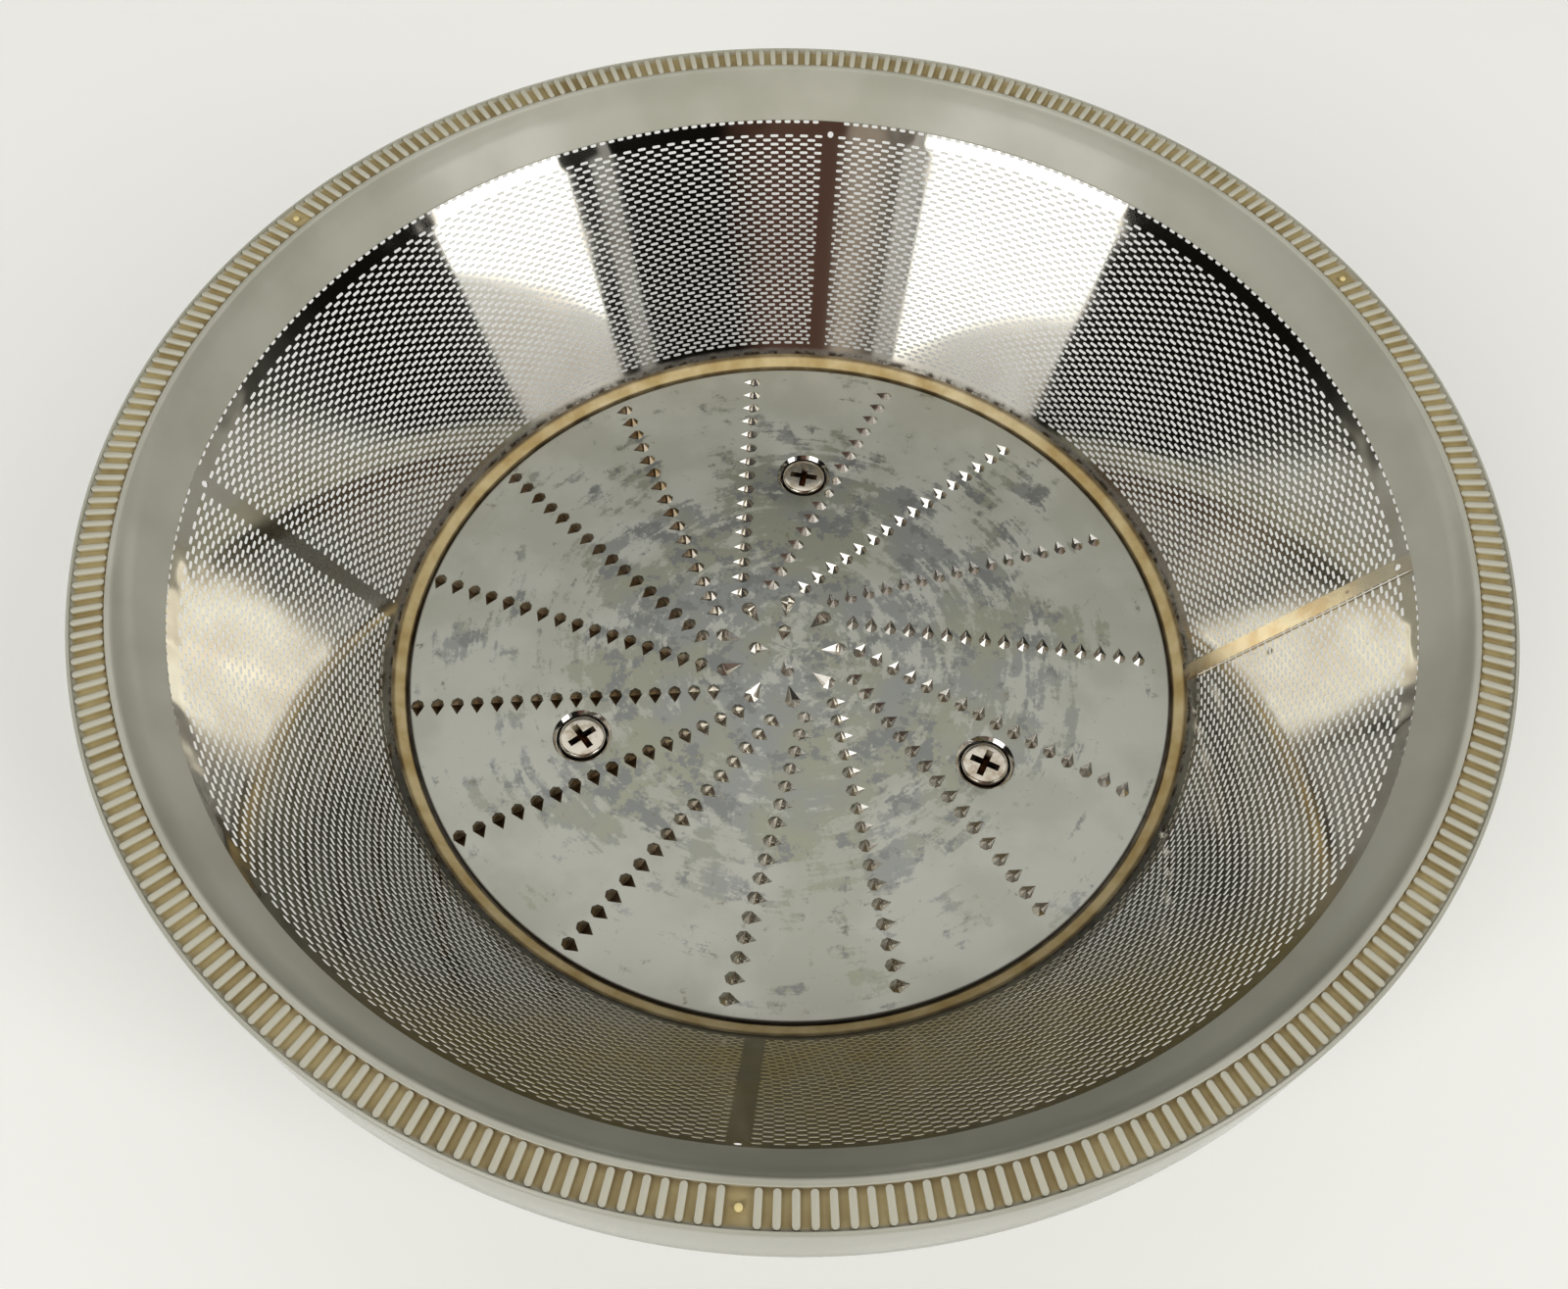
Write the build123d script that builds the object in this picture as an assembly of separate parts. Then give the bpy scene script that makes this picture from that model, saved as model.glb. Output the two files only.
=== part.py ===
from build123d import *
import math
import os

# Strainer basket of a centrifugal juicer, in millimetres. The origin is the centre of the foot
# that the basket stands on, +Z points up, and +X points at the lapped seam of the strainer.

# Overall sizes
rim_outer_radius = 80.0
overall_height = 48.0
bowl_depth = 35.6

# Moulded rim: an outer band, the ribbed track, a lip, then the inner wall down to the strainer
outer_band = 0.45
track_width = 3.55
lip_width = 0.75
track_depth = 0.5
rib_positions = 300
rib_width = 0.72
rib_end_gap = 0.1
nub_count = 3
nub_radius = 0.4
nub_first_angle = -90.0
skirt_height = 10.5
skirt_wall = 1.8
deck_thickness = 2.2
edge_round = 0.4
lip_round = 0.35
steep_run = 0.75
steep_drop = 2.2
cove_round = 1.2
strainer_proud = 0.5

# Strainer sheet, measured on its inner face between the two mouldings
sheet_thickness = 0.3
strainer_head_radius = 71.9
strainer_head_drop = 6.2
strainer_foot_radius = 52.9
strainer_foot_rise = 1.4
head_embed = 2.4
foot_embed = 1.8
rim_grip_short = 0.4
rim_grip_wall = 1.1
base_grip_length = 0.8
base_grip_wall = 1.3
seam_angle = -0.6
strip_count = 4
strip_width = 2.1
lap_end_gap = 0.3
pilot_radius = 0.43
pilot_below_head = 1.8

# Plain grid of slots in each strainer panel, standing for its fine perforation
slot_columns = 10
slot_rows = 8
slot_end_bar = 2.0
slot_side_bar = 1.9
slots_below_head = 1.6
slots_above_foot = 1.3

# Grating disc
disc_radius = 50.9
disc_thickness = 1.0
disc_gap = 0.2
ring_step = 0.1
dimple_radius = 3.85
dimple_depth = 2.2
dimple_wall = 0.9

# Teeth: straight rows set off from the disc's centre, each tooth a raised point behind a punched dent
row_count = 15
teeth_per_row = 16
row_offset = 5.7
row_start = 9.2
tooth_pitch = 2.593
row_first_angle = 91.9
pattern_shift_x = -1.4
pattern_shift_y = -0.2
tooth_width = 1.75
tooth_height = 0.9
tooth_back = 1.1
tooth_lean = 0.25
dent_length = 1.5
dent_depth = 0.65
centre_ring_count = 9
centre_ring_radius = 7.0
centre_ring_angle = 6.0
centre_inner_count = 3
centre_inner_radius = 3.3
centre_inner_angle = 75.0
centre_tooth_width = 1.9
centre_dent_length = 2.6
inner_dent_length = 1.6

# Screws and their inserts
screw_count = 3
screw_circle_radius = 30.2
screw_first_angle = 90.0
head_radius = 3.03
head_round = 0.3
head_below_disc = 0.1
recess_span = 4.3
recess_width = 0.95
recess_depth = 1.2
recess_angles = [4.0, 42.0, 50.0]
thread_radius = 1.75
thread_clearance = 0.03
thread_length = 6.0
clearance_hole_radius = 1.95
insert_radius = 2.6
insert_length = 5.5
insert_drop = 0.05

# Base moulding under the disc
floor_thickness = 2.4
base_edge_drop = 1.0
pocket_clearance = 0.1
boss_wall = 1.05
boss_end_wall = 0.8
foot_ring_radius = 38.0
foot_ring_wall = 2.0
web_count = 6
web_thickness = 1.8
web_foot_gap = 3.0

# Drive bush in the hub
bore_radius = 4.0
bush_radius = 7.0
bush_collar_radius = 8.5
bush_collar_height = 1.2
bush_lift = 1.5
bush_roof = 0.6
hub_wall = 4.0
pin_slot_width = 2.5
pin_slot_depth = 2.0

# Length by which a cutter runs past the face it cuts
cut_past = 0.3

# Heights and radii worked out from the sizes above
rim_top = overall_height
disc_top = overall_height - bowl_depth
disc_seat = disc_top - disc_thickness
floor_bottom = disc_seat - floor_thickness
track_outer_radius = rim_outer_radius - outer_band
track_inner_radius = track_outer_radius - track_width
lip_inner_radius = track_inner_radius - lip_width
ring_inner_radius = disc_radius + disc_gap
track_floor = rim_top - track_depth
skirt_bottom = rim_top - skirt_height
deck_bottom = rim_top - deck_thickness
head_seat = disc_top - dimple_depth
cup_bottom = head_seat - dimple_wall
pocket_bottom = cup_bottom - pocket_clearance
head_top = disc_top - head_below_disc
insert_top = pocket_bottom - insert_drop
insert_bottom = insert_top - insert_length
boss_bottom = insert_bottom - boss_end_wall
pocket_radius = dimple_radius + dimple_wall + pocket_clearance
boss_radius = pocket_radius + boss_wall
bush_top = floor_bottom - bush_roof + floor_thickness / 2
hub_radius = bush_radius + hub_wall
hub_bottom = bush_lift + bush_collar_height

# The strainer's slope: along it, upwards, and square to it, outwards
head = Vector(strainer_head_radius, rim_top - strainer_head_drop)
foot = Vector(strainer_foot_radius, disc_top + strainer_foot_rise)
along = (head - foot).normalized()
outward = Vector(along.Y, -along.X)
slant_length = (head - foot).length

# The sheet's two ends, sunk in the mouldings, on its inner and outer face
sheet_top = head + along * head_embed
sheet_bottom = foot - along * foot_embed
sheet_top_outer = sheet_top + outward * sheet_thickness
sheet_bottom_outer = sheet_bottom + outward * sheet_thickness


def polar(radius, angle, z=0.0):
    turn = math.radians(angle)
    return (radius * math.cos(turn), radius * math.sin(turn), z)


def rounded_profile(corners):
    # Corners are (radius, height, rounding); a rounding of zero leaves the corner sharp
    edges = []
    starts = []
    ends = []
    for i, (r, z, rounding) in enumerate(corners):
        corner = Vector(r, z)
        before = Vector(*corners[i - 1][:2])
        after = Vector(*corners[(i + 1) % len(corners)][:2])
        to_before = (before - corner).normalized()
        to_after = (after - corner).normalized()
        half = math.radians(to_before.get_angle(to_after)) / 2
        reach = rounding / math.tan(half)
        start = corner + to_before * reach
        end = corner + to_after * reach
        if rounding > 0:
            bisector = (to_before + to_after).normalized()
            middle = corner + bisector * (rounding / math.sin(half) - rounding)
            edges.append(ThreePointArc(start, middle, end))
        starts.append(start)
        ends.append(end)
    for i in range(len(corners)):
        edges.append(Line(ends[i - 1], starts[i]))
    return make_face(edges)


def turned(corners):
    return revolve(Plane.XZ * rounded_profile(corners), Axis.Z, 360)


def corner_at(point, rounding=0.0):
    return (point.X, point.Y, rounding)


def tube(outer, inner, bottom, top):
    wall = Cylinder(outer, top - bottom) - Cylinder(inner, top - bottom)
    return Pos(0, 0, (bottom + top) / 2) * wall


def rod(radius, bottom, top):
    return Pos(0, 0, (bottom + top) / 2) * Cylinder(radius, top - bottom)


def strainer_shell():
    return turned([
        corner_at(sheet_bottom),
        corner_at(sheet_bottom_outer),
        corner_at(sheet_top_outer),
        corner_at(sheet_top),
    ])


def on_strainer(distance, angle):
    # A place on the strainer's inner face: Z points into the bowl and X points up the slope
    point = foot + along * distance
    plane = Plane(
        origin=(point.X, 0, point.Y),
        x_dir=(along.X, 0, along.Y),
        z_dir=(-outward.X, 0, -outward.Y),
    )
    return Rot(0, 0, angle) * plane.location


def strainer_slots():
    # Each slot is cut square to the sheet, with bars left between slots and rows
    row_pitch = (slant_length - slots_below_head - slots_above_foot) / slot_rows
    panel_angle = 360 / strip_count
    through = 2 * (2 * sheet_thickness + cut_past)
    cutters = []
    for row in range(slot_rows):
        distance = slots_above_foot + (row + 0.5) * row_pitch
        radius = (foot + along * distance).X
        strip_angle = math.degrees(strip_width / radius)
        column_angle = (panel_angle - strip_angle) / slot_columns
        slot_length = math.radians(column_angle) * radius - slot_end_bar
        cutter = Box(row_pitch - slot_side_bar, slot_length, through)
        for panel in range(strip_count):
            first = seam_angle + panel * panel_angle + (strip_angle + column_angle) / 2
            for column in range(slot_columns):
                cutters.append(on_strainer(distance, first + column * column_angle) * cutter)
    return cutters


def strainer_cone():
    lap_length = slant_length - 2 * lap_end_gap
    lap_height = sheet_thickness + sheet_thickness / 2
    lap = Box(lap_length, strip_width, lap_height)
    lap_place = on_strainer(slant_length / 2, seam_angle) * Pos(0, 0, sheet_thickness - lap_height / 2)
    pilot = Cylinder(pilot_radius, 2 * (2 * sheet_thickness + cut_past))
    pilots = [
        on_strainer(slant_length - pilot_below_head, seam_angle + 360 / strip_count * i) * pilot
        for i in range(strip_count)
    ]
    return strainer_shell() + lap_place * lap - pilots - strainer_slots()


def rim_ring():
    inner_edge = head - outward * strainer_proud
    grip_inner = head + outward * sheet_thickness
    grip_outer = head + outward * (sheet_thickness + rim_grip_wall)
    wall_rise = (deck_bottom - grip_outer.Y) / along.Y
    wall_top = grip_outer + along * wall_rise
    body = turned([
        (rim_outer_radius, skirt_bottom, 0),
        (rim_outer_radius, rim_top, edge_round),
        (track_outer_radius, rim_top, 0),
        (track_outer_radius, track_floor, 0),
        (track_inner_radius, track_floor, 0),
        (track_inner_radius, rim_top, 0),
        (lip_inner_radius, rim_top, lip_round),
        (lip_inner_radius - steep_run, rim_top - steep_drop, cove_round),
        corner_at(inner_edge),
        corner_at(head),
        corner_at(sheet_top),
        corner_at(sheet_top_outer),
        corner_at(grip_inner + along * rim_grip_short),
        corner_at(grip_outer + along * rim_grip_short),
        corner_at(wall_top),
        (rim_outer_radius - skirt_wall, deck_bottom, 0),
        (rim_outer_radius - skirt_wall, skirt_bottom, 0),
    ])
    return body + track_ribs()


def track_ribs():
    # Radial ribs stand on the track's floor, with a small round nub in place of a few of them
    track_middle = (track_inner_radius + track_outer_radius) / 2
    rib_root = track_floor - cut_past
    rib_height = track_depth + cut_past
    rib = extrude(SlotOverall(track_width - 2 * rib_end_gap, rib_width), rib_height)
    nub = extrude(Circle(nub_radius), rib_height)
    nub_every = rib_positions // nub_count
    raised = []
    for i in range(rib_positions):
        mark = nub if i % nub_every == 0 else rib
        turn = Rot(0, 0, nub_first_angle + i * 360 / rib_positions)
        raised.append(turn * Pos(track_middle, 0, rib_root) * mark)
    return raised


def disc_dimples():
    cup = rod(dimple_radius + dimple_wall, cup_bottom, disc_seat + disc_thickness / 2)
    hollow = rod(dimple_radius, head_seat, disc_top + cut_past)
    hole = rod(clearance_hole_radius, cup_bottom - cut_past, head_seat + cut_past)
    return cup, hollow + hole


def screw_places():
    step = 360 / screw_count
    return [Pos(*polar(screw_circle_radius, screw_first_angle + i * step)) for i in range(screw_count)]


def pointed(base, tip):
    # A solid point: a three-cornered base drawn to one tip
    corners = [Vector(*p) for p in base]
    apex = Vector(*tip)
    sides = [Face(Wire.make_polygon(corners))]
    for i in range(len(corners)):
        sides.append(Face(Wire.make_polygon([corners[i - 1], corners[i], apex])))
    return Solid(Shell(sides))


def stretched(base, tip, past):
    # The base moved away from the tip along the sides, so that the solid runs past the disc's face
    grow = (abs(tip[2]) + past) / abs(tip[2])
    return [tuple(t + (b - t) * grow for b, t in zip(p, tip)) for p in base]


def tooth_pair(width, dent_run):
    # The point stands at negative Y and the dent runs out along +Y; the slit between lies along X
    half = width / 2
    tip = (0, -tooth_lean, tooth_height)
    point_base = [(-half, 0, 0), (half, 0, 0), (0, -tooth_back, 0)]
    pit = (0, 0, -dent_depth)
    pit_base = [(-half, 0, 0), (half, 0, 0), (0, dent_run, 0)]
    point = pointed(stretched(point_base, tip, cut_past), tip)
    dent = pointed(stretched(pit_base, pit, cut_past), pit)
    return point, dent


def tooth_places():
    # Each entry is (place, dent length, width); the place's +Y is the way the dent runs out
    places = []
    shift = Pos(pattern_shift_x, pattern_shift_y, disc_top)
    for i in range(row_count):
        turn = Rot(0, 0, row_first_angle + i * 360 / row_count)
        for j in range(teeth_per_row):
            place = shift * turn * Pos(row_start + j * tooth_pitch, row_offset)
            places.append((place, dent_length, tooth_width))
    rings = [
        (centre_ring_count, centre_ring_radius, centre_ring_angle, centre_dent_length),
        (centre_inner_count, centre_inner_radius, centre_inner_angle, inner_dent_length),
    ]
    for count, radius, first, run in rings:
        for i in range(count):
            place = shift * Rot(0, 0, first + i * 360 / count) * Pos(radius, 0) * Rot(0, 0, 90)
            places.append((place, run, centre_tooth_width))
    return places


def grater_disc():
    plate = rod(disc_radius, disc_seat, disc_top)
    cup, hollow = disc_dimples()
    plate = plate + [place * cup for place in screw_places()]
    plate = plate - [place * hollow for place in screw_places()]
    points = []
    dents = []
    for place, run, width in tooth_places():
        point, dent = tooth_pair(width, run)
        points.append(place * point)
        dents.append(place * dent)
    return plate + points - dents


def base_carrier():
    grip_inner = foot + outward * sheet_thickness
    grip_outer = foot + outward * (sheet_thickness + base_grip_wall)
    edge_bottom = floor_bottom - base_edge_drop
    edge_reach = (grip_outer.Y - edge_bottom) / along.Y
    outer_foot = grip_outer - along * edge_reach
    body = turned([
        (0, disc_seat, 0),
        (ring_inner_radius, disc_seat, 0),
        (ring_inner_radius, disc_top + ring_step, 0),
        corner_at(foot),
        corner_at(sheet_bottom),
        corner_at(sheet_bottom_outer),
        corner_at(grip_inner + along * base_grip_length),
        corner_at(grip_outer + along * base_grip_length),
        corner_at(outer_foot),
        (outer_foot.X - skirt_wall, edge_bottom, 0),
        (outer_foot.X - skirt_wall - base_edge_drop, floor_bottom, 0),
        (0, floor_bottom, 0),
    ])
    foot_ring = tube(foot_ring_radius, foot_ring_radius - foot_ring_wall, 0, floor_bottom + cut_past)
    hub = rod(hub_radius, hub_bottom, floor_bottom + cut_past)
    boss = rod(boss_radius, boss_bottom, floor_bottom + cut_past)
    web_inner = hub_radius - hub_wall / 2
    web_outer = foot_ring_radius - foot_ring_wall / 2
    web_height = floor_bottom + cut_past - web_foot_gap
    web = Pos((web_inner + web_outer) / 2, 0, web_foot_gap + web_height / 2)
    web = web * Box(web_outer - web_inner, web_thickness, web_height)
    webs = [Rot(0, 0, screw_first_angle + i * 360 / web_count) * web for i in range(web_count)]
    bosses = [place * boss for place in screw_places()]
    body = body + [foot_ring, hub] + webs + bosses
    pocket = rod(pocket_radius, pocket_bottom, disc_seat + cut_past)
    insert_hole = rod(insert_radius, insert_bottom, pocket_bottom + cut_past)
    holes = [place * (pocket + insert_hole) for place in screw_places()]
    bush_hole = rod(bush_radius, hub_bottom - cut_past, bush_top)
    return body - holes - bush_hole


def screw(recess_angle):
    blank = rod(head_radius, head_seat, head_top)
    blank = fillet(blank.faces().sort_by(Axis.Z)[-1].edges(), head_round)
    shank = rod(thread_radius - thread_clearance, head_seat - thread_length, head_seat + cut_past)
    slot = Box(recess_span, recess_width, recess_depth + cut_past)
    cross = slot + Rot(0, 0, 90) * slot
    cross_height = head_top - recess_depth + (recess_depth + cut_past) / 2
    return blank + shank - Pos(0, 0, cross_height) * Rot(0, 0, recess_angle) * cross


def thread_insert():
    return tube(insert_radius, thread_radius, insert_bottom, insert_top)


def drive_bush():
    sleeve = rod(bush_radius, bush_lift, bush_top)
    collar = rod(bush_collar_radius, bush_lift, hub_bottom)
    bore = rod(bore_radius, bush_lift - cut_past, bush_top + cut_past)
    pin_slot = Box(2 * bush_collar_radius + 2 * cut_past, pin_slot_width, pin_slot_depth + cut_past)
    slot_height = bush_lift - cut_past + (pin_slot_depth + cut_past) / 2
    return sleeve + collar - bore - Pos(0, 0, slot_height) * pin_slot


os.makedirs("parts", exist_ok=True)

pieces = {
    "rim_ring": rim_ring(),
    "strainer_cone": strainer_cone(),
    "base_carrier": base_carrier(),
    "grater_disc": grater_disc(),
    "drive_bush": drive_bush(),
}
for number, place in enumerate(screw_places(), start=1):
    pieces[f"screw_{number}"] = place * screw(recess_angles[number - 1])
    pieces[f"thread_insert_{number}"] = place * thread_insert()

for name, shape in pieces.items():
    export_step(shape, f"parts/{name}.step")
    print(name, f"{shape.volume:.1f} mm3", len(shape.solids()), "solid")
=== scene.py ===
import bpy
import math
from functools import partial
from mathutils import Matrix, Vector
from mathutils.geometry import delaunay_2d_cdt


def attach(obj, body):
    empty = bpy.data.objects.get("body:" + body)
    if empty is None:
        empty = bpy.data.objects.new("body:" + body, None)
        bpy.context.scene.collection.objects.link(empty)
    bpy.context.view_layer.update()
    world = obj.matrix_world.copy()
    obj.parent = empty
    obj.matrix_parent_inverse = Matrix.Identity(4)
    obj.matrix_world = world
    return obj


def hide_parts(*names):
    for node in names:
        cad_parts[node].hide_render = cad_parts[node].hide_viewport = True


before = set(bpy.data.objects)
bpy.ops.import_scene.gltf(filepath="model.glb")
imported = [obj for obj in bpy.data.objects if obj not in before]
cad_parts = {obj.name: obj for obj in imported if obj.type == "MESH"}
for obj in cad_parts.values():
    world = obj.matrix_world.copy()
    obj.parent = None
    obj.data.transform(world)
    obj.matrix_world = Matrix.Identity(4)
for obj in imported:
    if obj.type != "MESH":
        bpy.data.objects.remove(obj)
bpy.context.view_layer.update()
mm = 0.001  # everything below is written in millimetres, as on the drawing
weldGap = 0.0005 * mm  # corners closer than this become one
print("frame loaded:", ", ".join(sorted(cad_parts)))

# the basket's main sizes, shared by the pieces that meet
basket = {
    "height": 48.0,
    "rimRadius": 80.0,
    "discTop": 12.4,
    "discSeat": 11.4,
    "discRadius": 50.9,
    "screwCircle": 30.2,
    "screwAngles": (90.0, 210.0, 330.0),
    "footSlope": (52.9, 13.8),  # strainer's inner face where it leaves the base
    "headSlope": (71.9, 41.8),  # and where it goes into the rim
    "sheet": 0.15,
}
footSlope = Vector(basket["footSlope"])
headSlope = Vector(basket["headSlope"])
slant = (headSlope - footSlope).length
upSlope = (headSlope - footSlope) / slant
offSlope = Vector((upSlope.y, -upSlope.x))  # square to the sheet, away from the bowl


# Small helpers

def clearSelection():
    if bpy.context.object and bpy.context.object.mode != "OBJECT":
        bpy.ops.object.mode_set(mode="OBJECT")
    bpy.ops.object.select_all(action="DESELECT")


def pick(*pieces):
    clearSelection()
    for piece in pieces:
        piece.select_set(True)
    bpy.context.view_layer.objects.active = pieces[0]


def settle(piece):
    # the place goes into the mesh, so that the object sits at the origin
    pick(piece)
    bpy.ops.object.transform_apply(location=True, rotation=True, scale=True)
    return piece


def joinAll(name, pieces):
    pick(*pieces)
    bpy.ops.object.join()
    piece = bpy.context.object
    piece.name = name
    piece.data.name = name
    return piece


def smooth(piece, angle):
    pick(piece)
    bpy.ops.object.shade_smooth_by_angle(angle=math.radians(angle))


def polar(radius, angle, z=0.0):
    turn = math.radians(angle)
    return Vector((radius * math.cos(turn), radius * math.sin(turn), z))


screwSpots = [polar(basket["screwCircle"], angle) for angle in basket["screwAngles"]]


def arcPoints(centre, radius, start, end, steps):
    # points of an arc in the (radius, height) plane, angles in degrees
    points = []
    for i in range(steps + 1):
        turn = math.radians(start + (end - start) * i / steps)
        points.append((centre[0] + radius * math.cos(turn), centre[1] + radius * math.sin(turn)))
    return points


def circleLoop(centre, radius, sides):
    return [tuple(Vector(centre) + polar(radius, 360.0 * i / sides).xy) for i in range(sides)]


def closeMesh(weld=True):
    # corners that meet become one, and faces turn outwards
    bpy.ops.mesh.select_all(action="SELECT")
    if weld:
        bpy.ops.mesh.remove_doubles(threshold=weldGap)
    bpy.ops.mesh.normals_make_consistent(inside=False)
    bpy.ops.object.mode_set(mode="OBJECT")


def turnProfile(name, points, steps):
    # one vertex is drawn along the outline, and the outline is spun round Z like a lathe job
    clearSelection()
    bpy.ops.mesh.primitive_plane_add(size=mm)
    piece = bpy.context.object
    piece.name = name
    bpy.ops.object.mode_set(mode="EDIT")
    bpy.ops.mesh.select_mode(type="VERT")
    bpy.ops.mesh.select_all(action="SELECT")
    bpy.ops.mesh.merge(type="CENTER")
    bpy.ops.transform.translate(value=(points[0][0] * mm, 0, points[0][1] * mm))
    for before, after in zip(points, points[1:]):
        step = ((after[0] - before[0]) * mm, 0, (after[1] - before[1]) * mm)
        bpy.ops.mesh.extrude_region_move(TRANSFORM_OT_translate={"value": step})
    bpy.ops.mesh.select_all(action="SELECT")
    bpy.ops.mesh.spin(steps=steps, angle=math.tau, center=(0, 0, 0), axis=(0, 0, 1))
    closeMesh()
    return piece


def cutOrAdd(piece, tool, operation):
    pick(piece)
    cut = piece.modifiers.new("cut", "BOOLEAN")
    cut.operation = operation
    cut.solver = "EXACT"
    cut.object = tool
    bpy.ops.object.modifier_apply(modifier=cut.name)
    bpy.data.objects.remove(tool, do_unlink=True)
    return piece


def rod(name, radius, bottom, top, place, sides):
    clearSelection()
    bpy.ops.mesh.primitive_cylinder_add(
        vertices=sides, radius=radius * mm, depth=(top - bottom) * mm,
        location=(place[0] * mm, place[1] * mm, (bottom + top) / 2 * mm))
    piece = bpy.context.object
    piece.name = name
    return settle(piece)


def block(size, centre):
    # a box, by its three sizes and its middle
    clearSelection()
    bpy.ops.mesh.primitive_cube_add(size=mm)
    piece = bpy.context.object
    piece.scale = size
    piece.location = [c * mm for c in centre]
    return settle(piece)


def meshPiece(name, verts, polygons, weld):
    # a piece from its corners and faces
    mesh = bpy.data.meshes.new(name)
    mesh.from_pydata(verts, [], polygons)
    mesh.update()
    piece = bpy.data.objects.new(name, mesh)
    bpy.context.scene.collection.objects.link(piece)
    pick(piece)
    bpy.ops.object.mode_set(mode="EDIT")
    closeMesh(weld)
    return piece


def cutSheet(loops):
    # flat sheet with holes: the first loop is the outline, the others are cut out of it;
    # gives its points, its faces and the point of the loops that each one came from
    points = []
    edges = []
    owner = []
    for number, loop in enumerate(loops):
        first = len(points)
        count = len(loop)
        points += [Vector(p) for p in loop]
        edges += [(first + i, first + (i + 1) % count) for i in range(count)]
        owner += [number] * count
    insideOutline = 1
    nearest = 1e-6
    flat, _, triangles, origins, *_ = delaunay_2d_cdt(points, edges, [], insideOutline, nearest)
    source = [ids[0] for ids in origins]
    faces = []
    for face in triangles:
        touched = {owner[source[i]] for i in face}
        if touched == {0} or len(touched) > 1:
            faces.append(tuple(face))  # a face with all its corners on one hole lies in the hole
    return [tuple(v) for v in flat], faces, source


# Perforated strainer: four panels of one rolled sheet

strainer = {
    "panels": 4,
    "rows": 53,
    "firstRow": 1.76,       # slant distance from the base's edge
    "lastRow": 31.7,
    "slotLength": 1.2,
    "slotWidth": 0.36,
    "flare": 0.08,          # etched slots open out towards the back
    "pitchAngle": 1.746,    # degrees between slots at the top
    "pitchGrowth": 0.1,     # and how much wider the bottom rows stand
    "stripWidth": 2.1,      # blank strips between panels
    "stripPhase": -0.6,
    "pilotRadius": 0.43,
    "pilotBelowHead": 1.8,
    "headTuck": 2.2,        # length hidden in the rim
    "footTuck": 1.8,        # length hidden in the base
    "keyPitch": 1.08,       # keying slots half hidden by the rim
    "keyLength": 0.9,
    "keyWidth": 0.4,
    "keyBelowHead": 0.2,
    "lapRise": 0.34,
    "lapRamp": 0.9,
    "shortestSlot": 0.45,
    "edgeWeb": 0.07,
    "rowReach": 50.0,       # degrees each way that a row is laid out, past its strips
    "endSteps": 3,          # facets on a slot's round end
    "pilotSides": 14,
    "riseSteps": 24,        # facets up and across a panel's outline
    "acrossSteps": 90,
    "faceOn": 0.8,          # walls of slots lean further from the cone's direction than this
    # spot welds and flecks: angle, slant distance, radius, colour
    "marks": ((-0.6, 25.2, 0.5, "#5A3420"), (-0.5, 20.2, 0.3, "#7A5232"), (-0.4, 14.2, 0.3, "#7A5232"),
              (4.4, 21.0, 0.75, "#46422E"), (-3.2, 13.3, 0.6, "#46422E")),
    "filmWay": (0.17, -0.985, 0.0),  # the side where a film of juice has dried on
    "shadeWay": (0.0, -1.0, -1.0),    # and the way down it along which painted shade darkens the steel
}
panelAngle = 360.0 / strainer["panels"]


def coneRadius(s):
    return footSlope.x + upSlope.x * s


def conePoint(angle, s, depth):
    turn = math.radians(angle)
    r = coneRadius(s) + offSlope.x * depth
    z = footSlope.y + upSlope.y * s + offSlope.y * depth
    return (r * math.cos(turn) * mm, r * math.sin(turn) * mm, z * mm)


def obround(left, right, width, s, radius):
    # slot outline as (angle, slant) points
    half = width / 2
    ends = []
    for x, start in ((right - half, -90), (left + half, 90)):
        ends += arcPoints((x, s), half, start, start + 180, strainer["endSteps"])
    return [(math.degrees(x / radius), y) for x, y in ends]


def stripMiddle(q):
    return strainer["stripPhase"] + panelAngle * q


def stripEdge(q, s):
    # angle of the blank strip's far edge, where panel q starts
    return stripMiddle(q) - math.degrees(strainer["stripWidth"] / 2 / coneRadius(s))


def slotRow(q, s, pitch, length, width, shift, flare):
    # slots of one row of panel q between two blank strips; those that reach a strip are shortened
    radius = coneRadius(s)
    middle = stripMiddle(q) + panelAngle / 2
    strip = math.degrees(strainer["stripWidth"] / radius)
    web = math.degrees(strainer["edgeWeb"] / radius)
    low = math.radians(stripEdge(q, s) + strip + web) * radius
    high = math.radians(stripEdge(q + 1, s) - web) * radius
    slots = []
    reach = int(strainer["rowReach"] / pitch) + 2
    for k in range(-reach, reach + 1):
        x = math.radians(middle + (k + shift) * pitch) * radius
        left = max(x - length / 2, low)
        right = min(x + length / 2, high)
        if right - left > strainer["shortestSlot"]:
            slots.append(obround(left - flare, right + flare, width + 2 * flare, s, radius))
    return slots


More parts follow.
